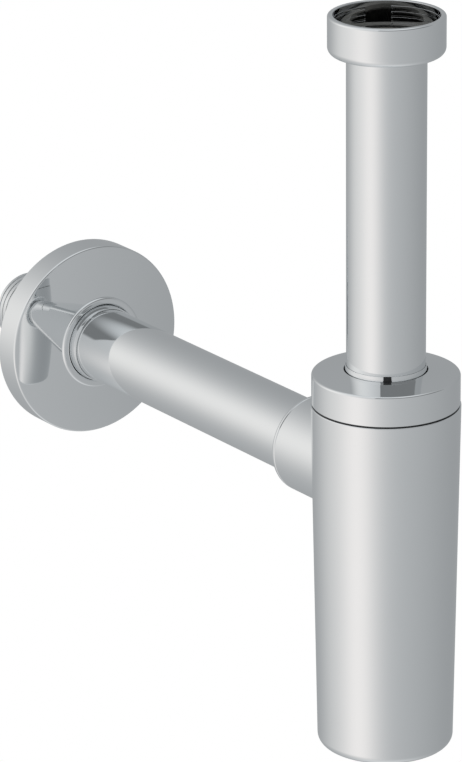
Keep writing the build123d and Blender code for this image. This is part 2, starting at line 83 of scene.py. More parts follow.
MM = 0.001                # one millimetre in Blender's metres
STEPS_AROUND = 224        # facets round a turned piece
ARC_STEP_DEG = 9.0        # facets of a rounded corner
SHARP_DEG = 28.0          # edges that turn more than this stay crisp
MERGE_MM = 0.0005         # points nearer than this are one
AREA_WEIGHT = 100         # of 100: the larger face decides the shading at a soft edge
BORE_SHARE = 0.25         # share of a tube's wall that still counts as its bore, and takes its painted shade
UP = Vector((0.0, 0.0, 1.0))


# ---------------------------------------------------------------- nodes and meshes


def linear(colour: str) -> tuple[float, float, float, float]:
    """Turn an sRGB hex colour into linear light.

    Args:
        colour: Six hex digits after a hash sign.

    Returns:
        Linear red, green, blue and an alpha of one.
    """
    channels = [int(colour[i:i + 2], 16) / 255.0 for i in (1, 3, 5)]
    lit = [c / 12.92 if c <= 0.04045 else ((c + 0.055) / 1.055) ** 2.4 for c in channels]
    return lit[0], lit[1], lit[2], 1.0


def add_node(tree: bpy.types.NodeTree, kind: str, inputs: dict[Any, Any] | None = None,
             **settings: Any) -> bpy.types.Node:
    """Add a node with its settings, values and links.

    Args:
        tree: The shader or geometry tree that gets the node.
        kind: The node's type.
        inputs: Values by input name or number. A socket is linked, and a node by its first output.
        **settings: The node's own properties.

    Returns:
        The new node.
    """
    node = tree.nodes.new(kind)
    for name, value in settings.items():
        setattr(node, name, value)
    for key, value in (inputs or {}).items():
        if isinstance(value, bpy.types.Node):
            value = value.outputs[0]
        if isinstance(value, bpy.types.NodeSocket):
            tree.links.new(value, node.inputs[key])
        else:
            node.inputs[key].default_value = value
    return node


def declare(tree: bpy.types.NodeTree, inputs: dict[str, str], output: str) -> bpy.types.NodeOutputs:
    """Name the inputs and the output of a Geometry Nodes tree.

    Args:
        tree: The tree.
        inputs: Kind of socket by input name, in order; the first is the mesh that the tree is run on.
        output: Name of the geometry that comes out.

    Returns:
        The inputs, as sockets to link from.
    """
    for name, kind in inputs.items():
        tree.interface.new_socket(name, in_out="INPUT", socket_type="NodeSocket" + kind)
    tree.interface.new_socket(output, in_out="OUTPUT", socket_type="NodeSocketGeometry")
    return add_node(tree, "NodeGroupInput").outputs


def cleared_nodes(owner: bpy.types.Material | bpy.types.World) -> bpy.types.NodeTree:
    """Switch on the nodes of a material or world and clear them.

    Args:
        owner: The material or world.

    Returns:
        Its empty tree.
    """
    owner.use_nodes = True
    owner.node_tree.nodes.clear()
    return owner.node_tree


def linked(name: str, data: bpy.types.ID) -> bpy.types.Object:
    """Make an object and link it to the scene.

    Args:
        name: The object's name.
        data: Its mesh or camera.

    Returns:
        The object.
    """
    made = bpy.data.objects.new(name, data)
    bpy.context.scene.collection.objects.link(made)
    return made


def run_tree(tree: bpy.types.NodeTree, values: dict[str, Any],
             base: bpy.types.Mesh | None = None) -> bpy.types.Mesh:
    """Run a Geometry Nodes tree once.

    Args:
        tree: The tree, with named inputs.
        values: A value for each named input.
        base: The mesh that the tree works on, where it needs one.

    Returns:
        The result as a plain mesh.
    """
    holder = linked("holder", base or bpy.data.meshes.new("holder"))
    modifier = holder.modifiers.new("tree", "NODES")
    modifier.node_group = tree
    sockets = {item.name: item.identifier for item in tree.interface.items_tree
               if item.item_type == "SOCKET" and item.in_out == "INPUT"}
    for name, value in values.items():
        modifier[sockets[name]] = value
    return taken_from(holder)


def taken_from(holder: bpy.types.Object) -> bpy.types.Mesh:
    """Take an object's evaluated shape and remove the object.

    Args:
        holder: The object, with its modifiers.

    Returns:
        The shape as a plain mesh.
    """
    graph = bpy.context.evaluated_depsgraph_get()
    mesh = bpy.data.meshes.new_from_object(holder.evaluated_get(graph), depsgraph=graph)
    bpy.data.objects.remove(holder)
    return mesh


def tidied(mesh: bpy.types.Mesh) -> bpy.types.Mesh:
    """Merge a mesh's doubled points, face it outwards and mark its crisp edges.

    Args:
        mesh: The mesh, which is changed.

    Returns:
        The same mesh.
    """
    work = bmesh.new()
    work.from_mesh(mesh)
    bmesh.ops.remove_doubles(work, verts=work.verts, dist=MERGE_MM * MM)
    bmesh.ops.recalc_face_normals(work, faces=work.faces)
    work.to_mesh(mesh)
    work.free()
    mesh.shade_smooth()
    mesh.set_sharp_from_angle(angle=math.radians(SHARP_DEG))
    return mesh


class Cut(Enum):
    """How two closed meshes are combined."""

    JOIN = "UNION"
    TAKE_AWAY = "DIFFERENCE"
    KEEP_COMMON = "INTERSECT"


def combined(mesh: bpy.types.Mesh, tool: bpy.types.Mesh, how: Cut) -> bpy.types.Mesh:
    """Combine two closed meshes.

    Args:
        mesh: The mesh that is changed.
        tool: The mesh that it is joined to, cut with or cut down to.
        how: Which of these.

    Returns:
        The new mesh, with faces outwards and crisp edges marked.
    """
    holder, tool_holder = linked("holder", mesh), linked("tool", tool)
    modifier = holder.modifiers.new("cut", "BOOLEAN")
    modifier.operation = how.value
    modifier.solver = "EXACT"
    modifier.use_self = how is Cut.JOIN
    modifier.object = tool_holder
    result = taken_from(holder)
    bpy.data.objects.remove(tool_holder)
    return tidied(result)


def piece(name: str, mesh: bpy.types.Mesh, body: str, slot: str, *stands_for: str) -> None:
    """Make a finished piece, with level faces kept level in its shading, and hang it on its body.

    Args:
        name: The piece's name.
        mesh: Its mesh, in place, with its materials.
        body: The body that it moves with.
        slot: The record's material slot; not used.
        *stands_for: The frame's pieces that it is shown in place of.
    """
    holder = linked("holder", mesh)
    modifier = holder.modifiers.new("normals", "WEIGHTED_NORMAL")
    modifier.keep_sharp = True
    modifier.weight = AREA_WEIGHT
    shaded = taken_from(holder)
    shaded.name = name
    made = linked(name, shaded)
    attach(made, body)
    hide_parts(*stands_for)
    LOG.info("%s: %d faces on %s", name, len(shaded.polygons), body)


# ---------------------------------------------------------------- turned shapes


@dataclass(frozen=True)
class Corner:
    """One corner of a turned section, in millimetres, with the radius that rounds it."""

    r: float
    z: float
    round: float = 0.0


def outline(corners: Sequence[Corner]) -> list[tuple[float, float]]:
    """Round the corners of a closed section.

    Args:
        corners: The section's corners in order.

    Returns:
        Points (radius, height) in millimetres, with each rounded corner as a fine arc.
    """
    points: list[tuple[float, float]] = []
    for i, corner in enumerate(corners):
        here = Vector((corner.r, corner.z))
        if corner.round <= 0.0:
            points.append((here.x, here.y))
            continue
        last, following = corners[i - 1], corners[(i + 1) % len(corners)]
        back = (Vector((last.r, last.z)) - here).normalized()
        ahead = (Vector((following.r, following.z)) - here).normalized()
        opening = back.angle(ahead)
        centre = here + (back + ahead).normalized() * (corner.round / math.sin(opening / 2))
        start = here + back * (corner.round / math.tan(opening / 2)) - centre
        turn = math.pi - opening
        if back.cross(ahead) > 0.0:
            turn = -turn
        steps = max(2, round(abs(math.degrees(turn)) / ARC_STEP_DEG))
        for k in range(steps + 1):
            angle = turn * k / steps
            cos, sin = math.cos(angle), math.sin(angle)
            points.append((centre.x + start.x * cos - start.y * sin,
                           centre.y + start.x * sin + start.y * cos))
    return points


def box_section(r_in: float, r_out: float, low: float, high: float, soft: float) -> list[Corner]:
    """Return a ring's rectangular section with all four corners rounded alike."""
    return [Corner(r_in, low, soft), Corner(r_out, low, soft),
            Corner(r_out, high, soft), Corner(r_in, high, soft)]


class TurningTree:
    """Geometry Nodes tree that turns a closed section about the dip tube's or the outlet's axis."""

    WHEEL_MM = 10.0       # radius of the circle that the section runs round; any gives the same shape

    def __init__(self) -> None:
        """Build the tree with its named inputs."""
        tree = bpy.data.node_groups.new("turning", "GeometryNodeTree")
        given = declare(tree, {"Section": "Geometry", "Steps": "Int", "Tilt": "Float",
                               "Axis height": "Float", "Bore radius": "Float", "Finish": "Material",
                               "Bore finish and shade": "Material"}, "Piece")
        wheel = self.WHEEL_MM * MM
        place = add_node(tree, "GeometryNodeInputPosition")
        apart = add_node(tree, "ShaderNodeSeparateXYZ", {0: place})
        out = add_node(tree, "ShaderNodeMath", {0: apart.outputs["X"], 1: wheel}, operation="SUBTRACT")
        down = add_node(tree, "ShaderNodeMath", {0: apart.outputs["Z"], 1: -1.0}, operation="MULTIPLY")
        flat = add_node(tree, "ShaderNodeCombineXYZ", {"X": out, "Y": down})
        section = add_node(tree, "GeometryNodeSetPosition",
                           {"Geometry": given["Section"], "Position": flat})
        profile = add_node(tree, "GeometryNodeMeshToCurve", {"Mesh": section})
        circle = add_node(tree, "GeometryNodeCurvePrimitiveCircle",
                          {"Resolution": given["Steps"], "Radius": wheel})
        turned = add_node(tree, "GeometryNodeCurveToMesh", {"Curve": circle, "Profile Curve": profile})
        lean = add_node(tree, "ShaderNodeCombineXYZ", {"X": given["Tilt"]})
        raised = add_node(tree, "ShaderNodeCombineXYZ", {"Z": given["Axis height"]})
        placed = add_node(tree, "GeometryNodeTransform", {"Geometry": turned, "Rotation": lean,
                           "Translation": raised})
        real = add_node(tree, "GeometryNodeRealizeInstances", {0: placed})
        finished = add_node(tree, "GeometryNodeSetMaterial",
                            {"Geometry": real, "Material": given["Finish"]})
        # Faces near the axis take the bore's material, which is darkened as painted shade.
        inside = self.inside(tree, given["Bore radius"], given["Tilt"], raised)
        bored = add_node(tree, "GeometryNodeSetMaterial", {"Geometry": finished, "Selection": inside,
                          "Material": given["Bore finish and shade"]})
        add_node(tree, "NodeGroupOutput", {0: bored})
        self.tree = tree

    @staticmethod
    def inside(tree: bpy.types.NodeTree, radius: bpy.types.NodeSocket, tilt: bpy.types.NodeSocket,
               raised: bpy.types.Node) -> bpy.types.NodeSocket:
        """Select the faces whose middles lie nearer the piece's axis than a radius.

        Args:
            tree: The tree to add to.
            radius: The radius.
            tilt: The angle that the axis was tilted by.
            raised: The node that gives the place it was raised to.

        Returns:
            The selection.
        """
        place = add_node(tree, "GeometryNodeInputPosition")
        upright = add_node(tree, "ShaderNodeVectorRotate",
                           {"Vector": place, "Center": raised, "Angle": tilt},
                           rotation_type="X_AXIS", invert=True)
        apart = add_node(tree, "ShaderNodeSeparateXYZ", {0: upright})
        level = add_node(tree, "ShaderNodeCombineXYZ", {"X": apart.outputs["X"], "Y": apart.outputs["Y"]})
        away = add_node(tree, "ShaderNodeVectorMath", {0: level}, operation="LENGTH")
        near = add_node(tree, "FunctionNodeCompare", {0: away.outputs["Value"], 1: radius},
                        data_type="FLOAT", operation="LESS_THAN")
        return near.outputs[0]


@dataclass
class Lathe:
    """Turns sections into meshes about one axis of the trap."""

    tree: TurningTree
    axis_height: float = 0.0      # millimetres; used with lying
    lying: bool = False           # about the outlet's axis, and not the dip tube's

    def turn(self, corners: Sequence[Corner], finish: bpy.types.Material, bore_r: float = 0.0,
             bore_finish_and_shade: bpy.types.Material | None = None, steps: int = STEPS_AROUND) -> bpy.types.Mesh:
        """Turn one closed section.

        Args:
            corners: The section's corners.
            finish: The material.
            bore_r: Faces nearer the axis than this take the bore's material, darkened as painted shade.
            bore_finish_and_shade: The bore's material, where it differs.
            steps: Facets round the piece.

        Returns:
            The mesh in its place, tidied.
        """
        points = [(r * MM, 0.0, z * MM) for r, z in outline(corners)]
        edges = [(i, (i + 1) % len(points)) for i in range(len(points))]
        section = bpy.data.meshes.new("section")
        section.from_pydata(points, edges, [])
        values = {"Steps": steps, "Tilt": -math.pi / 2 if self.lying else 0.0,
                  "Axis height": self.axis_height * MM if self.lying else 0.0, "Bore radius": bore_r * MM,
                  "Finish": finish, "Bore finish and shade": bore_finish_and_shade or finish}
        return tidied(run_tree(self.tree.tree, values, section))


@dataclass(frozen=True)
class Reach:
    """Radius and ends of a piece of the frame along its axis, in millimetres."""

    radius: float
    low: float
    high: float
    axis_height: float = 0.0

    @classmethod
    def upright(cls, node: str) -> "Reach":
        """Measure a piece that stands on the dip tube's axis."""
        low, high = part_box(node)
        return cls(high.x / MM, low.z / MM, high.z / MM)

    @classmethod
    def lying(cls, node: str) -> "Reach":
        """Measure a piece that lies on the outlet's axis."""
        low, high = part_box(node)
        return cls(high.x / MM, low.y / MM, high.y / MM, (low.z + high.z) / 2 / MM)


class RidgeTree:
    """Geometry Nodes tree for thread ridges: stretches of one helix, whole or parted by gaps."""

    CREST_STEPS = 3       # facets of a crest's rounded corner

    def __init__(self) -> None:
        """Build the tree with its named inputs."""
        tree = bpy.data.node_groups.new("ridges", "GeometryNodeTree")
        # The holder's mesh is empty and goes nowhere, because a ridge grows from its numbers alone.
        given = declare(tree, {"Holder": "Geometry", "Root radius": "Float", "Depth": "Float",
                               "Root width": "Float", "Crest width": "Float", "Crest round": "Float",
                               "Pitch": "Float", "Stretch turns": "Float", "Turns apart": "Float",
                               "Stretches": "Int", "First turn": "Float", "First height": "Float",
                               "Finish": "Material"}, "Ridges")
        rise = add_node(tree, "ShaderNodeMath", {0: given["Pitch"], 1: given["Stretch turns"]},
                        operation="MULTIPLY")
        helix = add_node(tree, "GeometryNodeCurveSpiral",
                         {"Resolution": STEPS_AROUND, "Rotations": given["Stretch turns"],
                          "Start Radius": given["Root radius"], "End Radius": given["Root radius"],
                          "Height": rise})
        upright = add_node(tree, "GeometryNodeSetCurveNormal", {"Curve": helix}, mode="Z_UP")
        # The profile stands on the root and points along its own X, away from the axis by a positive depth.
        size = add_node(tree, "ShaderNodeMath", {0: given["Depth"]}, operation="ABSOLUTE")
        bar = add_node(tree, "GeometryNodeCurvePrimitiveQuadrilateral",
                       {"Height": size, "Bottom Width": given["Root width"],
                        "Top Width": given["Crest width"], "Offset": 0.0}, mode="TRAPEZOID")
        side = add_node(tree, "ShaderNodeMath", {0: given["Depth"]}, operation="SIGN")
        quarter = add_node(tree, "ShaderNodeMath", {0: side, 1: -math.pi / 2}, operation="MULTIPLY")
        half = add_node(tree, "ShaderNodeMath", {0: given["Depth"], 1: 0.5}, operation="MULTIPLY")
        out = add_node(tree, "ShaderNodeCombineXYZ", {"X": half})
        lean = add_node(tree, "ShaderNodeCombineXYZ", {"Z": quarter})
        stood = add_node(tree, "GeometryNodeTransform", {"Geometry": bar, "Rotation": lean,
                          "Translation": out})
        soft = add_node(tree, "GeometryNodeFilletCurve", {"Curve": stood, "Radius": given["Crest round"],
                         "Count": self.CREST_STEPS, "Limit Radius": True}, mode="POLY")
        swept = add_node(tree, "GeometryNodeCurveToMesh",
                         {"Curve": upright, "Profile Curve": soft, "Fill Caps": True})
        step = add_node(tree, "ShaderNodeMath", {0: given["Pitch"], 1: given["Turns apart"]},
                        operation="MULTIPLY")
        climb = add_node(tree, "ShaderNodeCombineXYZ", {"Z": step})
        start = add_node(tree, "ShaderNodeCombineXYZ", {"Z": given["First height"]})
        places = add_node(tree, "GeometryNodeMeshLine",
                          {"Count": given["Stretches"], "Start Location": start,
                           "Offset": climb})
        index = add_node(tree, "GeometryNodeInputIndex")
        turns = add_node(tree, "ShaderNodeMath",
                         {0: index, 1: given["Turns apart"], 2: given["First turn"]},
                         operation="MULTIPLY_ADD")
        angle = add_node(tree, "ShaderNodeMath", {0: turns, 1: math.tau}, operation="MULTIPLY")
        about_axis = add_node(tree, "ShaderNodeCombineXYZ", {"Z": angle})
        spin = add_node(tree, "FunctionNodeEulerToRotation", {0: about_axis})
        copies = add_node(tree, "GeometryNodeInstanceOnPoints", {"Points": places, "Instance": swept,
                           "Rotation": spin})
        real = add_node(tree, "GeometryNodeRealizeInstances", {0: copies})
        finished = add_node(tree, "GeometryNodeSetMaterial",
                            {"Geometry": real, "Material": given["Finish"]})
        add_node(tree, "NodeGroupOutput", {0: finished})
        self.tree = tree


@dataclass(frozen=True)
class Ridges:
    """One thread's ridges, in millimetres and turns; a negative depth points to the axis."""

    root_r: float
    depth: float
    root_w: float
    crest_w: float
    pitch: float
    stretch_turns: float
    first_turn: float
    first_z: float
    stretches: int = 1
    turns_apart: float = 0.0
    crest_round: float = 0.18

    def mesh(self, tree: RidgeTree, finish: bpy.types.Material) -> bpy.types.Mesh:
        """Sweep the ridges.

        Args:
            tree: The tree that sweeps them.
            finish: Their material.

        Returns:
            Their mesh, in place and tidied.
        """
        values = {"Root radius": self.root_r * MM, "Depth": self.depth * MM, "Root width": self.root_w * MM,
                  "Crest width": self.crest_w * MM, "Crest round": self.crest_round * MM,
                  "Pitch": self.pitch * MM, "Stretch turns": self.stretch_turns,
                  "Turns apart": self.turns_apart, "Stretches": self.stretches,
                  "First turn": self.first_turn, "First height": self.first_z * MM, "Finish": finish}
        return tidied(run_tree(tree.tree, values))


# ---------------------------------------------------------------- finishes


MARK_DETAIL = 3.0         # of the fine marks' noise
MARK_FINENESS = 0.55      # how strong the finest marks are
CLOUD_MM = 18.0           # spacing of the slow changes in colour and shine
CLOUD_DETAIL = 2.0
CLOUD_SHARE = 0.45        # how far the shine follows them, and not the fine marks
NOISE_SPAN = (0.3, 0.7)   # between these lie nearly all of a noise's values


class Lay(Enum):
    """Which way the fine marks of working run; each value squeezes them along X, Y and Z."""

    ROUND_TUBE = (1.0, 1.0, 26.0)
    ROUND_OUTLET = (1.0, 26.0, 1.0)
    EVEN = (1.0, 1.0, 1.0)


@dataclass(frozen=True)
class Finish:
    """One surface finish: its colour, how it shines and its fine marks."""

    name: str
    colour: str               # sRGB
    metallic: float
    roughness: tuple[float, float]    # from the smoothest to the roughest marks
    mark_mm: float            # spacing of the fine marks
    mark_depth_mm: float      # how deep they are
    bump: float               # how far the shading follows them
    mottle: float             # share by which the colour varies
    ior: float = 1.5

    def material(self, lay: Lay) -> bpy.types.Material:
        """Build the material, with its marks running one way.

        Args:
            lay: The way the marks run.

        Returns:
            The new material.
        """
        made = bpy.data.materials.new(f"{self.name}_{lay.name.lower()}")
        tree = cleared_nodes(made)
        place = add_node(tree, "ShaderNodeTexCoord").outputs["Object"]
        stretched = add_node(tree, "ShaderNodeMapping", {"Vector": place, "Scale": lay.value})
        longest = max(lay.value)
        marks = add_node(tree, "ShaderNodeTexNoise",
                         {"Vector": stretched, "Scale": 1.0 / (self.mark_mm * MM * longest),
                          "Detail": MARK_DETAIL, "Roughness": MARK_FINENESS})
        cloud = add_node(tree, "ShaderNodeTexNoise",
                         {"Vector": place, "Scale": 1.0 / (CLOUD_MM * MM), "Detail": CLOUD_DETAIL})
        blend = add_node(tree, "ShaderNodeMix", {"Factor": CLOUD_SHARE, 2: marks, 3: cloud})
        rough = add_node(tree, "ShaderNodeMapRange",
                         {"Value": blend, "From Min": NOISE_SPAN[0], "From Max": NOISE_SPAN[1],
                          "To Min": self.roughness[0], "To Max": self.roughness[1]})
        bumped = add_node(tree, "ShaderNodeBump", {"Height": marks, "Strength": self.bump,
                           "Distance": self.mark_depth_mm * MM})
        base = linear(self.colour)
        dull = tuple(c * (1.0 - self.mottle) for c in base[:3]) + (1.0,)
        tint = add_node(tree, "ShaderNodeMix", {"Factor": cloud, 6: dull, 7: base}, data_type="RGBA")
        shader = add_node(tree, "ShaderNodeBsdfPrincipled",
                          {"Base Color": tint.outputs[2], "Metallic": self.metallic, "IOR": self.ior,
                           "Roughness": rough, "Normal": bumped})
        add_node(tree, "ShaderNodeOutputMaterial", {"Surface": shader})
        return made


# Bright nickel-chrome plate over polished brass: a cool, nearly neutral mirror. The polishing lines are
# far finer than this in truth, and are drawn coarse enough to show at all.
CHROME_PLATED_BRASS = Finish("chrome_plated_brass", "#EBEDEE", 1.0, (0.02, 0.04), 0.35, 0.004, 0.05, 0.015)
# The same metal inside a drawn tube, never polished, so it mirrors softly; its grey is darkened as painted
# shade, so that the bore reads dark.
UNPOLISHED_BORE_PAINTED_SHADE = Finish("unpolished_bore_painted_shade", "#6E6C68", 1.0, (0.28, 0.40), 0.5, 0.02, 0.25, 0.06)
# The same plate on the hidden side of a pressed part: satin from the press, never polished.
SATIN_PRESSING = Finish("satin_plated_pressing", "#B9B8B4", 1.0, (0.26, 0.36), 0.5, 0.02, 0.25, 0.06)
# Chrome inside the nut, greyer than outside as painted shade for its recess, and so darker with each
# mirroring between its faces.
CHROME_IN_NUT_PAINTED_SHADE = Finish("chrome_nut_inside_painted_shade", "#D4D6D8", 1.0, (0.03, 0.06), 0.4, 0.01, 0.12, 0.10)
# Turned brass as it leaves the lathe, with its feed marks.
TURNED_BRASS = Finish("turned_brass", "#C9A765", 1.0, (0.16, 0.26), 0.25, 0.01, 0.30, 0.05)
# Moulded black sealing rubber with a faint bloom.
SEAL_RUBBER = Finish("moulded_seal_rubber", "#1C1D1F", 0.0, (0.45, 0.62), 0.4, 0.02, 0.30, 0.15, 1.52)
# Die-cut sheet rubber in a plain warm grey, dull all over.
GASKET_RUBBER = Finish("die_cut_gasket_rubber", "#8F8D87", 0.0, (0.50, 0.65), 0.3, 0.02, 0.30, 0.06, 1.52)
# Moulded natural nylon, off-white and slightly waxy.
NYLON = Finish("moulded_nylon", "#E4E0D4", 0.0, (0.32, 0.42), 0.6, 0.01, 0.15, 0.03, 1.53)


class Finishes:
    """Makes each material once and hands it out again."""

    def __init__(self) -> None:
        """Start with no materials."""
        self.made: dict[tuple[str, Lay], bpy.types.Material] = {}

    def get(self, finish: Finish, lay: Lay) -> bpy.types.Material:
        """Find or make a material.

        Args:
            finish: The finish.
            lay: The way its marks run.

        Returns:
            The material, the same one each time.
        """
        key = (finish.name, lay)
        if key not in self.made:
            self.made[key] = finish.material(lay)
        return self.made[key]

    def dress(self, node: bpy.types.Object, finish: Finish, lay: Lay) -> None:
        """Give a piece of the frame that stays in sight its finish."""
        for place in node.material_slots:
            place.material = self.get(finish, lay)


# ---------------------------------------------------------------- the trap's pieces


@dataclass
class Workshop:
    """What every sub-assembly needs: the trees, the finishes and the frame's own pieces."""

    turning: TurningTree
    ridges: RidgeTree
    finishes: Finishes
    nodes: dict[str, bpy.types.Object]

    def upright(self) -> Lathe:
        """Return a lathe on the dip tube's axis."""
        return Lathe(self.turning)

    def lying(self, axis_height: float) -> Lathe:
        """Return a lathe on the outlet's axis."""
        return Lathe(self.turning, axis_height, True)


@dataclass
class InletUnion:
    """Union nut with its interrupted thread, flat gasket and slip ring, and the dip tube that it holds."""

    shop: Workshop
    tube_r: float = 16.0
    tube_wall: float = 1.0
    tube_edge: float = 0.2
    flange_t: float = 1.0
    flange_round: float = 0.5
    hole_gap: float = 0.3
    floor_t: float = 1.7
    wall: float = 2.25
    lower_round: float = 3.1
    rim_round: float = 1.0
    mouth_round: float = 0.4
    mouth_depth: float = 2.3
    thread_low: float = 0.1
    thread_depth: float = 1.479
    land_t: float = 0.195
    pitch: float = 2.309
    ridge_root_w: float = 2.059
    ridge_crest_w: float = 0.759
    gaps: int = 3
    gap_deg: float = 29.0
    gap_at_deg: float = 33.5
    groove_start: float = -0.9
    land_round: float = 0.05
    gasket_edge: float = 0.15
    gasket_inset: float = 1.5
    spare: float = 1.0        # how far the trimming blank reaches past the thread
    embed: float = 0.06

    def build(self) -> None:
        """Make every piece of the union."""
        chrome = self.shop.finishes.get(CHROME_PLATED_BRASS, Lay.ROUND_TUBE)
        self.nut(chrome)
        self.tube(chrome)
        self.gasket()
        self.shop.finishes.dress(self.shop.nodes["inlet_slip_ring"], NYLON, Lay.EVEN)

    def nut(self, chrome: bpy.types.Material) -> None:
        """Turn the union nut and set its thread lands and ridges inside.

        Args:
            chrome: The outside's material.
        """
        # The nut's inside and its thread take a greyer chrome than the outside: painted shade in its recess.
        inside = self.shop.finishes.get(CHROME_IN_NUT_PAINTED_SHADE, Lay.ROUND_TUBE)
        reach = Reach.upright("inlet_union_nut")
        relief_r = reach.radius - self.wall
        hole_r = self.tube_r + self.hole_gap
        floor_z = reach.low + self.floor_t
        shell = self.shop.upright().turn([
            Corner(hole_r, reach.low, self.mouth_round), Corner(reach.radius, reach.low, self.lower_round),
            Corner(reach.radius, reach.high, self.rim_round), Corner(relief_r, reach.high, self.mouth_round),
            Corner(relief_r, floor_z, self.mouth_round), Corner(hole_r, floor_z, self.tube_edge),
        ], chrome, relief_r + self.mouth_round / 2, inside)
        high = reach.high - self.mouth_depth
        middle, width = (self.thread_low + high) / 2, high - self.thread_low
        stretch = 1.0 / self.gaps - self.gap_deg / 360.0
        begin = (self.gap_at_deg + self.gap_deg / 2) / 360.0
        root_r = relief_r - self.land_t
        lands = Ridges(root_r=relief_r + self.embed, depth=-(self.land_t + self.embed), root_w=width,
                       crest_w=width, pitch=0.0, stretch_turns=stretch, first_turn=begin, first_z=middle,
                       stretches=self.gaps, turns_apart=1.0 / self.gaps,
                       crest_round=self.land_round).mesh(self.shop.ridges, inside)
        ridge_z = self.groove_start + self.pitch / 2 + self.pitch * (begin - 1.0)
        count = self.gaps * math.ceil((high - ridge_z) / self.pitch) + 1
        ridges = Ridges(root_r=root_r + self.embed, depth=-(self.thread_depth + self.embed),
                        root_w=self.ridge_root_w, crest_w=self.ridge_crest_w, pitch=self.pitch,
                        stretch_turns=stretch, first_turn=begin, first_z=ridge_z, stretches=count,
                        turns_apart=1.0 / self.gaps).mesh(self.shop.ridges, inside)
        blank = self.shop.upright().turn(
            box_section(root_r - self.thread_depth - self.spare, relief_r + self.spare,
                        self.thread_low, high, 0.0), inside)
        ridges = combined(ridges, blank, Cut.KEEP_COMMON)
        thread = combined(lands, ridges, Cut.JOIN)
        piece("union_nut", combined(shell, thread, Cut.JOIN), "union_nut", "chrome_plated_brass",
              "inlet_union_nut")

    def tube(self, chrome: bpy.types.Material) -> None:
        """Turn the dip tube with its flange.

        Args:
            chrome: The outside's material.
        """
        reach = Reach.upright("dip_tube")
        bore_r = self.tube_r - self.tube_wall
        under = reach.high - self.flange_t
        # The tube's bore takes a grey darkened as painted shade.
        mesh = self.shop.upright().turn([
            Corner(bore_r, reach.low, self.tube_edge), Corner(self.tube_r, reach.low, self.tube_edge),
            Corner(self.tube_r, under, self.flange_round), Corner(reach.radius, under, self.tube_edge),
            Corner(reach.radius, reach.high, self.tube_edge), Corner(bore_r, reach.high, self.flange_round),
        ], chrome, bore_r + self.tube_wall * BORE_SHARE,
            self.shop.finishes.get(UNPOLISHED_BORE_PAINTED_SHADE, Lay.ROUND_TUBE))
        piece("dip_tube_piece", mesh, "inlet_tube", "chrome_plated_brass", "dip_tube")

    def gasket(self) -> None:
        """Turn the flat gasket that lies on the flange."""
        low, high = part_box("inlet_flat_gasket")
        mesh = self.shop.upright().turn(
            box_section(self.tube_r - self.gasket_inset, high.x / MM, low.z / MM, high.z / MM,
                        self.gasket_edge), self.shop.finishes.get(GASKET_RUBBER, Lay.EVEN))
        piece("flat_gasket", mesh, "inlet_tube", "gasket_rubber", "inlet_flat_gasket")


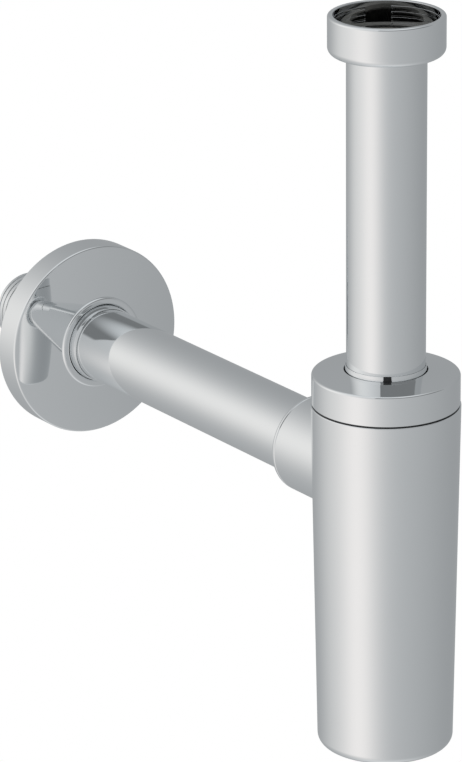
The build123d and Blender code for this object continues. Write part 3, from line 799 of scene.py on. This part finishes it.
@dataclass
class CapAndSeals:
    """Cap nut with its thread, split ring, and the seals under it."""

    shop: Workshop
    tube_r: float = 16.0
    hole_gap: float = 0.95
    slope_deg: float = 8.4
    edge_t: float = 1.4
    edge_round: float = 1.0
    small_round: float = 0.25
    skirt_t: float = 2.1
    relief: float = 0.2
    bottom_land: float = 1.3
    top_land: float = 2.0
    pitch: float = 2.309
    ridge_depth: float = 1.2
    ridge_root_w: float = 1.459
    ridge_crest_w: float = 0.659
    embed: float = 0.06
    sleeve_gap: float = 0.3
    sleeve_fit: float = 0.08
    tip_t: float = 0.27
    tip_round: float = 0.08
    taper: float = 2.8
    flange_t: float = 1.2
    flange_edge: float = 0.1
    groove_below_rim: float = 1.0
    slit_w: float = 3.6
    slit_at_deg: float = -124.9

    def build(self) -> None:
        """Make the cap and the pieces under it."""
        chrome = self.shop.finishes.get(CHROME_PLATED_BRASS, Lay.ROUND_TUBE)
        self.cap(chrome)
        self.split_ring(chrome)
        finishes, nodes = self.shop.finishes, self.shop.nodes
        finishes.dress(nodes["cap_slip_ring"], NYLON, Lay.EVEN)
        finishes.dress(nodes["cap_wedge_seal"], SEAL_RUBBER, Lay.EVEN)

    def cap(self, chrome: bpy.types.Material) -> None:
        """Turn the cap nut: sloping top, smooth skirt, and the thread's ridge inside.

        Args:
            chrome: Its material.
        """
        reach = Reach.upright("cap_nut")
        hole_r = self.tube_r + self.hole_gap
        slope = math.tan(math.radians(self.slope_deg))
        edge_z = reach.high - (reach.radius - hole_r) * slope
        ceiling = edge_z - self.edge_t
        root_r = reach.radius - self.skirt_t
        relief_r = root_r + self.relief
        low, high = reach.low + self.bottom_land, ceiling - self.top_land
        soft = self.small_round
        shell = self.shop.upright().turn([
            Corner(hole_r, ceiling, soft), Corner(hole_r, reach.high, soft),
            Corner(reach.radius, edge_z, self.edge_round), Corner(reach.radius, reach.low, soft),
            Corner(relief_r, reach.low, soft), Corner(relief_r, low), Corner(root_r, low),
            Corner(root_r, high), Corner(relief_r, high), Corner(relief_r, ceiling, soft),
        ], chrome)
        neck = Reach.upright("bottle_shell")
        groove_z = neck.high - self.groove_below_rim
        half = self.ridge_root_w / 2
        turns = (low + half - groove_z) / self.pitch
        ridge = Ridges(root_r=root_r + self.embed, depth=-(self.ridge_depth + self.embed),
                       root_w=self.ridge_root_w, crest_w=self.ridge_crest_w, pitch=self.pitch,
                       stretch_turns=(high - low - 2 * half) / self.pitch, first_turn=turns % 1.0,
                       first_z=low + half).mesh(self.shop.ridges, chrome)
        piece("cap_nut_piece", combined(shell, ridge, Cut.JOIN), "cap", "chrome_plated_brass", "cap_nut")

    def split_ring(self, chrome: bpy.types.Material) -> None:
        """Turn the split ring and saw its slit.

        Args:
            chrome: Its material.
        """
        reach = Reach.upright("cap_split_ring")
        inner = self.tube_r + self.sleeve_fit
        outer = self.tube_r + self.hole_gap - self.sleeve_gap
        shelf = reach.low + self.flange_t
        mesh = self.shop.upright().turn([
            Corner(inner, reach.low), Corner(reach.radius, reach.low, self.flange_edge),
            Corner(reach.radius, shelf, self.flange_edge),
            Corner(outer, shelf), Corner(outer, reach.high - self.taper),
            Corner(inner + self.tip_t, reach.high, self.tip_round),
            Corner(inner, reach.high, self.tip_round),
        ], chrome)
        saw = bmesh.new()
        bmesh.ops.create_cube(saw, size=1.0)
        length, height = 2 * reach.radius, 2 * (reach.high - reach.low)
        place = (Matrix.Rotation(math.radians(self.slit_at_deg), 4, "Z")
                 @ Matrix.Translation(Vector((reach.radius, 0.0, (reach.high + reach.low) / 2)) * MM)
                 @ Matrix.Diagonal(Vector((length, self.slit_w, height, 1.0 / MM)) * MM))
        bmesh.ops.transform(saw, matrix=place, verts=saw.verts)
        blade = bpy.data.meshes.new("blade")
        saw.to_mesh(blade)
        saw.free()
        blade.materials.append(chrome)
        piece("split_ring", combined(mesh, blade, Cut.TAKE_AWAY), "seal_pack", "chrome_plated_brass",
              "cap_split_ring")


@dataclass
class Bottle:
    """Drawn bottle, its neck ring and rim seal, and the outlet socket on its side."""

    shop: Workshop
    taper: float = 2.57
    wall: float = 2.0
    base_round: float = 4.0
    rim_round: float = 0.35
    socket_wall: float = 1.8
    socket_bore: float = 17.2
    shoulder_from_rim: float = 2.63
    socket_round: float = 1.5
    mouth_edge: float = 0.25
    bead_w: float = 2.1
    bead_groove_w: float = 0.6
    bead_groove_depth: float = 0.28
    bead_soft: float = 0.08

    def build(self) -> None:
        """Make the bottle's pieces."""
        finishes, nodes = self.shop.finishes, self.shop.nodes
        chrome = finishes.get(CHROME_PLATED_BRASS, Lay.ROUND_TUBE)
        # The hole through the wall takes the bore's grey, darkened as painted shade.
        bore = finishes.get(UNPOLISHED_BORE_PAINTED_SHADE, Lay.ROUND_TUBE)
        self.shell(chrome, bore)
        self.socket()
        finishes.dress(nodes["neck_ring"], TURNED_BRASS, Lay.ROUND_TUBE)
        finishes.dress(nodes["body_rim_seal"], SEAL_RUBBER, Lay.EVEN)
        finishes.dress(nodes["outlet_mouth_ring"], CHROME_PLATED_BRASS, Lay.ROUND_OUTLET)

    def blank(self, inset: float) -> list[Corner]:
        """Return half the section of the bottle's outer form.

        Args:
            inset: How far it is set in, from nothing for the outside to the wall for the inside.

        Returns:
            The section's corners, from the middle of the base to the middle of the rim.
        """
        reach = Reach.upright("bottle_shell")
        slope = self.taper / (reach.high - reach.low)
        base_r = reach.radius - self.taper - inset + inset * slope
        return [Corner(0.0, reach.low + inset), Corner(base_r, reach.low + inset, self.base_round - inset),
                Corner(reach.radius - inset, reach.high, self.rim_round if inset == 0.0 else 0.0),
                Corner(0.0, reach.high)]

    def shell(self, chrome: bpy.types.Material, bore: bpy.types.Material) -> None:
        """Turn the bottle's wall and cut the outlet's hole.

        Args:
            chrome: The wall's material.
            bore: The hole's material, darkened as painted shade.
        """
        outside, inside = self.blank(0.0), self.blank(self.wall)
        mesh = self.shop.upright().turn(outside[:3] + inside[2::-1], chrome)
        outlet = Reach.lying("outlet_socket")
        drill = self.shop.lying(outlet.axis_height).turn(
            [Corner(0.0, 0.0), Corner(self.socket_bore, 0.0), Corner(self.socket_bore, outlet.high),
             Corner(0.0, outlet.high)], bore)
        piece("bottle_body", combined(mesh, drill, Cut.TAKE_AWAY), "bottle", "chrome_plated_brass",
              "bottle_shell")

    def socket(self) -> None:
        """Turn the socket and fit its foot to the bottle's side."""
        chrome = self.shop.finishes.get(CHROME_PLATED_BRASS, Lay.ROUND_OUTLET)
        reach, shell = Reach.lying("outlet_socket"), Reach.upright("bottle_shell")
        seal_r = reach.radius - self.socket_wall
        shoulder = shell.radius + self.shoulder_from_rim
        # A fine turned line sets off the rolled bead at the socket's mouth.
        line_y, line_r = reach.high - self.bead_w, reach.radius - self.bead_groove_depth
        mesh = self.shop.lying(reach.axis_height).turn([
            Corner(self.socket_bore, 0.0), Corner(reach.radius, 0.0),
            Corner(reach.radius, line_y - self.bead_groove_w, self.bead_soft),
            Corner(line_r, line_y - self.bead_groove_w / 2), Corner(reach.radius, line_y, self.bead_soft),
            Corner(reach.radius, reach.high, self.socket_round), Corner(seal_r, reach.high, self.mouth_edge),
            Corner(seal_r, shoulder), Corner(self.socket_bore, shoulder),
        ], chrome)
        solid = self.shop.upright().turn(self.blank(0.0), chrome)
        piece("outlet_socket_piece", combined(mesh, solid, Cut.TAKE_AWAY), "bottle", "chrome_plated_brass",
              "outlet_socket")


@dataclass
class Outlet:
    """Outlet pipe with its grooves, and the lip seal round it."""

    shop: Workshop
    wall: float = 1.0
    end_round: float = 0.4
    groove_w: float = 1.0
    groove_depth: float = 0.3
    groove_edge: float = 0.08
    mark_behind_rosette: float = 2.4
    end_grooves: int = 3
    end_groove_step: float = 2.6

    def build(self) -> None:
        """Turn the pipe, with its insertion mark and end grooves."""
        finishes = self.shop.finishes
        reach, rosette = Reach.lying("outlet_pipe"), Reach.lying("wall_rosette")
        chrome = finishes.get(CHROME_PLATED_BRASS, Lay.ROUND_OUTLET)
        bore_r = reach.radius - self.wall
        starts = [rosette.high + self.mark_behind_rosette]
        starts += [reach.high - k * self.end_groove_step for k in range(self.end_grooves, 0, -1)]
        corners = [Corner(bore_r, reach.low, self.end_round),
                   Corner(reach.radius, reach.low, self.end_round)]
        foot_r = reach.radius - self.groove_depth
        for start in starts:
            end = start + self.groove_w
            corners += [Corner(r, y, self.groove_edge) for r, y in (
                (reach.radius, start), (foot_r, start), (foot_r, end), (reach.radius, end))]
        corners += [Corner(reach.radius, reach.high, self.end_round),
                    Corner(bore_r, reach.high, self.end_round)]
        # The pipe's bore takes a grey darkened as painted shade.
        mesh = self.shop.lying(reach.axis_height).turn(
            corners, chrome, bore_r + self.wall * BORE_SHARE,
            finishes.get(UNPOLISHED_BORE_PAINTED_SHADE, Lay.ROUND_OUTLET))
        piece("outlet_pipe_piece", mesh, "pipe", "chrome_plated_brass", "outlet_pipe")
        finishes.dress(self.shop.nodes["outlet_lip_seal"], SEAL_RUBBER, Lay.EVEN)


@dataclass
class Rosette:
    """Pressed, slightly domed wall rosette and the centring sleeve that carries it on the pipe."""

    shop: Workshop
    pipe_r: float = 16.0
    depth: float = 12.2
    wall: float = 1.2
    dome_r: float = 165.0
    edge_round: float = 1.0
    collar_gap: float = 1.2
    collar_t: float = 3.2
    collar_round: float = 1.2
    lip_round: float = 0.8
    small_round: float = 0.2
    dome_step: float = 1.0
    sleeve_fit: float = 0.08
    ring_gap: float = 0.15
    sleeve_tip_t: float = 0.52
    sleeve_flange_t: float = 2.0
    sleeve_edge: float = 0.1
    seat_lap: float = 1.0
    seat_gap: float = 0.04

    def dome(self, rim_y: float, rim_r: float, inset: float, r_from: float, r_to: float) -> list[Corner]:
        """Return points along the dome.

        Args:
            rim_y: Where the outer face meets the rim.
            rim_r: The rim's radius.
            inset: How far behind the outer face the points lie.
            r_from: Radius of the first point.
            r_to: Radius of the last point.

        Returns:
            Points about one step apart, in order.
        """
        centre_y = rim_y + math.sqrt(self.dome_r ** 2 - rim_r ** 2)
        reach = self.dome_r - inset
        steps = max(1, round(abs(r_to - r_from) / self.dome_step))
        radii = [r_from + (r_to - r_from) * k / steps for k in range(steps + 1)]
        return [Corner(r, centre_y - math.sqrt(reach ** 2 - r ** 2)) for r in radii]

    def dull_inside(self, mesh: bpy.types.Mesh, cup: Reach, r_from: float, r_to: float) -> bpy.types.Mesh:
        """Give the cup's inside the satin plate that a pressed part has there.

        Args:
            mesh: The turned cup.
            cup: The cup's reach.
            r_from: Radius where the inside begins, at the hole.
            r_to: Radius where it ends, at the rim.

        Returns:
            The same mesh.
        """
        mesh.materials.append(self.shop.finishes.get(SATIN_PRESSING, Lay.ROUND_OUTLET))
        dull = len(mesh.materials) - 1
        for polygon in mesh.polygons:
            at = polygon.center / MM
            across = math.hypot(at.x, at.z - cup.axis_height)
            if r_from < across < r_to:
                middle = self.dome(cup.high - self.depth, cup.radius, self.wall / 2, across, across)[0].z
                if at.y > middle:
                    polygon.material_index = dull
        return mesh

    def build(self) -> None:
        """Turn the rosette and its sleeve."""
        chrome = self.shop.finishes.get(CHROME_PLATED_BRASS, Lay.ROUND_OUTLET)
        cup, sleeve = Reach.lying("wall_rosette"), Reach.lying("rosette_sleeve")
        lathe = self.shop.lying(cup.axis_height)
        face = cup.high - self.depth
        hole_r = self.pipe_r + self.collar_gap
        collar_r = hole_r + self.collar_t
        soft, inner_r = self.small_round, cup.radius - self.wall
        outside = self.dome(face, cup.radius, 0.0, collar_r, cup.radius - 2 * self.edge_round)
        inside = self.dome(face, cup.radius, self.wall, inner_r, sleeve.radius + self.seat_lap)
        seat = inside[-1].z
        turned = lathe.turn([
            Corner(hole_r, seat, soft), Corner(hole_r, cup.low, self.lip_round),
            Corner(collar_r, cup.low, self.collar_round), *outside,
            Corner(cup.radius, face, self.edge_round), Corner(cup.radius, cup.high, soft),
            Corner(inner_r, cup.high, soft), *inside,
        ], chrome)
        piece("rosette_cup", self.dull_inside(turned, cup, hole_r + soft, inner_r + soft), "rosette",
              "chrome_plated_brass", "wall_rosette")
        inner, outer = self.pipe_r + self.sleeve_fit, hole_r - self.ring_gap
        # The flange stays a hair behind its seat, so that their facets don't cross as the rosette turns.
        front, back = seat + self.seat_gap, seat + self.sleeve_flange_t
        piece("rosette_sleeve_piece", lathe.turn([
            Corner(inner, sleeve.low, self.sleeve_edge),
            Corner(inner + self.sleeve_tip_t, sleeve.low, self.sleeve_edge),
            Corner(outer, cup.low), Corner(outer, front), Corner(sleeve.radius, front, soft),
            Corner(sleeve.radius, back, soft), Corner(inner, back, soft),
        ], chrome), "rosette_grip", "chrome_plated_brass", "rosette_sleeve")


# ---------------------------------------------------------------- studio


@dataclass(frozen=True)
class SoftLight:
    """A broad soft light in the studio's walls, seen from the trap."""

    azimuth_deg: float        # from +Y towards +X
    elevation_deg: float
    focus: float              # larger is narrower
    colour: tuple[float, float, float]


def heading(azimuth_deg: float, elevation_deg: float) -> Vector:
    """Return the direction at an azimuth from +Y towards +X and an elevation."""
    a, e = math.radians(azimuth_deg), math.radians(elevation_deg)
    return Vector((math.sin(a) * math.cos(e), math.cos(a) * math.cos(e), math.sin(e)))


@dataclass
class Studio:
    """Camera, soft light all round and a plain pale floor."""

    azimuth_deg: float = -34.93
    elevation_deg: float = 19.64
    roll_deg: float = -0.543
    distance: float = 1938.6
    aim: tuple[float, float, float] = (-6.25, 99.65, -168.68)
    lens: float = 218.45
    sight_m: tuple[float, float] = (0.1, 40.0)                # nearest and farthest that it sees
    floor_below: float = 60.0
    floor_r: float = 5200.0
    floor_t: float = 10.0
    floor_steps: int = 96
    wall_high: float = 6000.0
    cove_r: float = 1500.0
    walls: tuple[float, float, float] = (0.444, 0.457, 0.467)
    walls_lean: tuple[float, float, float] = (-0.079, -0.045, 0.012)
    lights: tuple[SoftLight, ...] = (
        SoftLight(-98.0, -26.0, 6.4, (0.436, 0.393, 0.368)),
        SoftLight(-46.0, 9.6, 5.8, (0.416, 0.395, 0.372)),
        SoftLight(-80.0, 48.0, 5.0, (0.27, 0.265, 0.264)),
        SoftLight(0.0, -90.0, 8.0, (0.30, 0.30, 0.30)),
    )
    dark_level: float = 0.24
    dark_from_deg: float = 24.0
    dark_sides_deg: tuple[float, float] = (145.0, 200.0)      # azimuths square to its two sides
    dark_blurs: tuple[float, float, float] = (0.012, 0.05, 0.06)    # of its two sides and its foot
    ceiling_level: float = 0.75
    ceiling_from_deg: float = 56.0
    ceiling_blur: float = 0.12

    def build(self, turning: TurningTree) -> None:
        """Set up the camera, the light and the floor.

        Args:
            turning: The tree that turns the floor.
        """
        self.camera()
        self.light()
        self.floor(turning)
        bpy.context.scene.view_settings.view_transform = "Standard"

    def camera(self) -> None:
        """Place the camera and aim it."""
        a, e, roll = (math.radians(x) for x in (self.azimuth_deg, self.elevation_deg, self.roll_deg))
        back = Vector((math.sin(a) * math.cos(e), -math.cos(a) * math.cos(e), math.sin(e)))
        level = UP.cross(back).normalized()
        upward = back.cross(level)
        right = level * math.cos(roll) + upward * math.sin(roll)
        up = upward * math.cos(roll) - level * math.sin(roll)
        data = bpy.data.cameras.new("camera")
        data.lens = self.lens
        data.clip_start, data.clip_end = self.sight_m
        made = linked("camera", data)
        turned = Matrix((right, up, back)).transposed().to_4x4()
        made.matrix_world = Matrix.Translation((Vector(self.aim) + back * self.distance) * MM) @ turned
        bpy.context.scene.camera = made

    def light(self) -> None:
        """Wrap the trap in soft grey walls, broad lights, a darker part and a bright ceiling."""
        world = bpy.data.worlds.new("studio")
        bpy.context.scene.world = world
        tree = cleared_nodes(world)
        towards = add_node(tree, "ShaderNodeTexCoord").outputs["Generated"]
        lean = add_node(tree, "ShaderNodeVectorMath", {0: towards, 1: self.walls_lean},
                        operation="DOT_PRODUCT")
        total = add_node(tree, "ShaderNodeVectorMath", {0: lean.outputs["Value"], 1: self.walls},
                         operation="ADD")
        for light in self.lights:
            along = add_node(tree, "ShaderNodeVectorMath",
                             {0: towards, 1: heading(light.azimuth_deg, light.elevation_deg)},
                             operation="DOT_PRODUCT")
            fall = add_node(tree, "ShaderNodeMath",
                            {0: along.outputs["Value"], 1: light.focus, 2: -light.focus},
                            operation="MULTIPLY_ADD")
            level = add_node(tree, "ShaderNodeMath", {0: fall}, operation="EXPONENT")
            lit = add_node(tree, "ShaderNodeVectorMath", {0: light.colour, "Scale": level},
                           operation="SCALE")
            total = add_node(tree, "ShaderNodeVectorMath", {0: total, 1: lit}, operation="ADD")
        shade = tuple(self.dark_level * c / self.walls[1] for c in self.walls)
        mixed = add_node(tree, "ShaderNodeMix", {0: self.behind(tree, towards), 4: total, 5: shade},
                         data_type="VECTOR")
        ceiling = tuple(self.ceiling_level * c / self.walls[1] for c in self.walls)
        overhead = self.beyond(tree, towards, UP, self.ceiling_from_deg, self.ceiling_blur)
        mixed = add_node(tree, "ShaderNodeMix", {0: overhead, 4: mixed.outputs[1], 5: ceiling},
                         data_type="VECTOR")
        glow = add_node(tree, "ShaderNodeBackground", {"Color": mixed.outputs[1]})
        add_node(tree, "ShaderNodeOutputWorld", {"Surface": glow})

    @staticmethod
    def beyond(tree: bpy.types.NodeTree, towards: bpy.types.NodeSocket, normal: Vector, angle_deg: float,
               blur: float) -> bpy.types.NodeSocket:
        """Return how far a direction lies on one side of a cone.

        Args:
            tree: The world's tree.
            towards: The direction.
            normal: The cone's axis.
            angle_deg: The cone's height over the plane square to its axis.
            blur: Half the width of the soft border.

        Returns:
            A socket from zero, outside, to one, inside.
        """
        along = add_node(tree, "ShaderNodeVectorMath", {0: towards, 1: normal}, operation="DOT_PRODUCT")
        border = math.sin(math.radians(angle_deg))
        return add_node(tree, "ShaderNodeMapRange",
                        {"Value": along.outputs["Value"], "From Min": border - blur,
                         "From Max": border + blur}, interpolation_type="SMOOTHSTEP").outputs[0]

    def behind(self, tree: bpy.types.NodeTree, towards: bpy.types.NodeSocket) -> bpy.types.NodeSocket:
        """Return how far a direction lies in the dark part, high up on the side away from the wall.

        Args:
            tree: The world's tree.
            towards: The direction.

        Returns:
            A socket from zero, outside, to one, inside.
        """
        borders = [(heading(azimuth, 0.0), 0.0) for azimuth in self.dark_sides_deg]
        borders.append((UP, self.dark_from_deg))
        share, *others = [self.beyond(tree, towards, normal, angle, blur)
                          for (normal, angle), blur in zip(borders, self.dark_blurs)]
        for other in others:
            share = add_node(tree, "ShaderNodeMath", {0: share, 1: other}, operation="MULTIPLY").outputs[0]
        return share

    def floor(self, turning: TurningTree) -> None:
        """Lay the pale floor that curves up into the studio's walls.

        It shines by itself, so that nothing darkens it, and only the camera sees it: the trap is lit
        and mirrored by the soft light alone.

        Args:
            turning: The tree that turns it.
        """
        paper = bpy.data.materials.new("pale_paper")
        tree = cleared_nodes(paper)
        glow = add_node(tree, "ShaderNodeEmission", {"Color": (1.0, 1.0, 1.0, 1.0), "Strength": 1.0})
        add_node(tree, "ShaderNodeOutputMaterial", {"Surface": glow})
        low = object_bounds()[0].z / MM - self.floor_below
        top, under, back_r = low + self.wall_high, low - self.floor_t, self.floor_r + self.floor_t
        mesh = Lathe(turning).turn([
            Corner(0.0, low), Corner(self.floor_r, low, self.cove_r), Corner(self.floor_r, top),
            Corner(back_r, top), Corner(back_r, under), Corner(0.0, under)], paper, steps=self.floor_steps)
        made = linked("floor", mesh)
        made.visible_glossy = False
        made.visible_diffuse = False
        made.visible_shadow = False
        made.visible_transmission = False
        made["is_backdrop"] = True


# ---------------------------------------------------------------- putting it together


def main() -> None:
    """Load the frame, set up the studio and make every piece."""
    logging.basicConfig(level=logging.INFO, format="%(name)s: %(message)s")
    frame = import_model()
    turning = TurningTree()
    Studio().build(turning)
    shop = Workshop(turning, RidgeTree(), Finishes(), frame["nodes"])
    for assembly in (InletUnion(shop), CapAndSeals(shop), Bottle(shop), Outlet(shop), Rosette(shop)):
        LOG.info("building %s", type(assembly).__name__)
        assembly.build()


if __name__ == "__main__":
    main()
